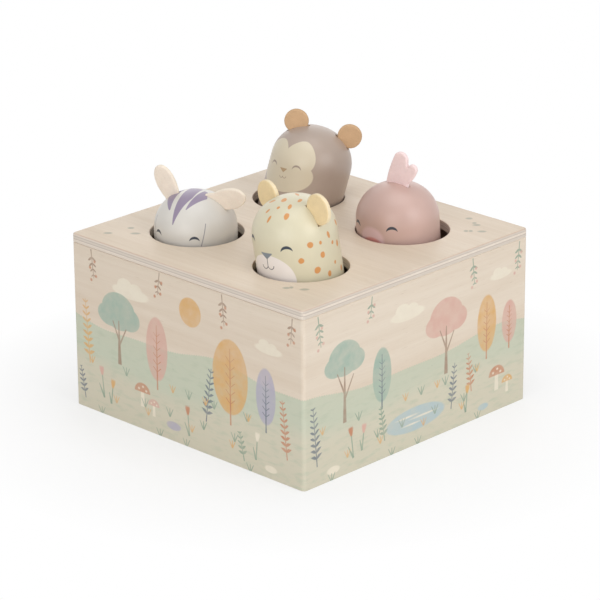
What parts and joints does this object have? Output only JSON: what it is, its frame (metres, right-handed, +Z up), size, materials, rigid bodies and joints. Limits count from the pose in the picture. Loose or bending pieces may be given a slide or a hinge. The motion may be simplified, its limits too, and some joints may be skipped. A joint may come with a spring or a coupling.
{
  "type": "pop up animal toy",
  "caption": "Square plywood box toy with domed wooden animals that stand on springs in round holes and pop back up when pressed.",
  "frame": {"origin": "middle of the box's underside, on the surface it stands on", "axes": "+Z up, the animals look towards -Y, +X to the right seen from the front"},
  "size_m": [0.16, 0.16, 0.1375],
  "materials": {
    "birch_ply": "satin clear lacquer",
    "printed_ply": "matt print on plywood",
    "base_ply": "bare sanded plywood",
    "beech": "bare turned or sawn wood",
    "screw_steel": "zinc plated",
    "spring_steel": "bright drawn wire",
    "leopard_paint": "satin paint",
    "zebra_paint": "satin paint",
    "bird_paint": "satin paint",
    "monkey_paint": "satin paint",
    "leopard_felt": "wool felt",
    "zebra_felt": "wool felt",
    "bird_felt": "wool felt",
    "monkey_felt": "wool felt"
  },
  "bodies": {
    "box": {"top_plate": "birch_ply", "front_panel": "printed_ply", "right_panel": "printed_ply", "back_panel": "printed_ply", "left_panel": "printed_ply", "base_panel": "base_ply", "corner_block_front_left": "beech", "corner_block_front_right": "beech", "corner_block_back_left": "beech", "corner_block_back_right": "beech", "base_screws": "screw_steel", "post_screws": "screw_steel", "leopard_spring_post": "beech", "zebra_spring_post": "beech", "bird_spring_post": "beech", "monkey_spring_post": "beech"},
    "leopard_coil": {"leopard_spring": "spring_steel"},
    "leopard": {"leopard_body": "leopard_paint", "leopard_ear_left": "leopard_felt", "leopard_ear_right": "leopard_felt"},
    "zebra_coil": {"zebra_spring": "spring_steel"},
    "zebra": {"zebra_body": "zebra_paint", "zebra_ear_left": "zebra_felt", "zebra_ear_right": "zebra_felt"},
    "bird_coil": {"bird_spring": "spring_steel"},
    "bird": {"bird_body": "bird_paint", "bird_comb": "bird_felt"},
    "monkey_coil": {"monkey_spring": "spring_steel"},
    "monkey": {"monkey_body": "monkey_paint", "monkey_ear_left": "monkey_felt", "monkey_ear_right": "monkey_felt"}
  },
  "joints": [
    {"name": "leopard_rock", "type": "hinge", "parent": "box", "child": "leopard_coil", "pos_m": [0.03572, -0.03628, 0.0891], "axis": [-0.7071, 0.7071, 0], "range_deg": [-5, 10], "stiffness_Nm_per_rad": 0.05, "deforming": ["leopard_spring"]},
    {"name": "leopard_press", "type": "slide", "parent": "leopard_coil", "child": "leopard", "axis": [-0.0911, -0.0911, 0.9917], "range_m": [-0.02, 0.006], "stiffness_N_per_m": 440, "springref_m": 0.00122, "deforming": ["leopard_spring"]},
    {"name": "zebra_rock", "type": "hinge", "parent": "box", "child": "zebra_coil", "pos_m": [-0.03642, -0.03642, 0.0891], "axis": [-0.7071, 0.7071, 0], "range_deg": [-8, 8], "stiffness_Nm_per_rad": 0.05, "deforming": ["zebra_spring"]},
    {"name": "zebra_press", "type": "slide", "parent": "zebra_coil", "child": "zebra", "axis": [0, 0, 1], "range_m": [-0.011, 0.006], "stiffness_N_per_m": 440, "springref_m": 0.00094, "deforming": ["zebra_spring"]},
    {"name": "bird_rock", "type": "hinge", "parent": "box", "child": "bird_coil", "pos_m": [0.03459, 0.03459, 0.0891], "axis": [-0.7071, 0.7071, 0], "range_deg": [-2.5, 8], "stiffness_Nm_per_rad": 0.05, "deforming": ["bird_spring"]},
    {"name": "bird_press", "type": "slide", "parent": "bird_coil", "child": "bird", "axis": [-0.0407, -0.0407, 0.9983], "range_m": [-0.02, 0.006], "stiffness_N_per_m": 440, "springref_m": 0.001, "deforming": ["bird_spring"]},
    {"name": "monkey_rock", "type": "hinge", "parent": "box", "child": "monkey_coil", "pos_m": [-0.03529, 0.03671, 0.0891], "axis": [-0.7071, 0.7071, 0], "range_deg": [-15, 0], "stiffness_Nm_per_rad": 0.05, "deforming": ["monkey_spring"]},
    {"name": "monkey_press", "type": "slide", "parent": "monkey_coil", "child": "monkey", "axis": [0.1806, 0.1806, 0.9668], "range_m": [-0.02, 0.006], "stiffness_N_per_m": 440, "springref_m": 0.00123, "deforming": ["monkey_spring"]}
  ]
}
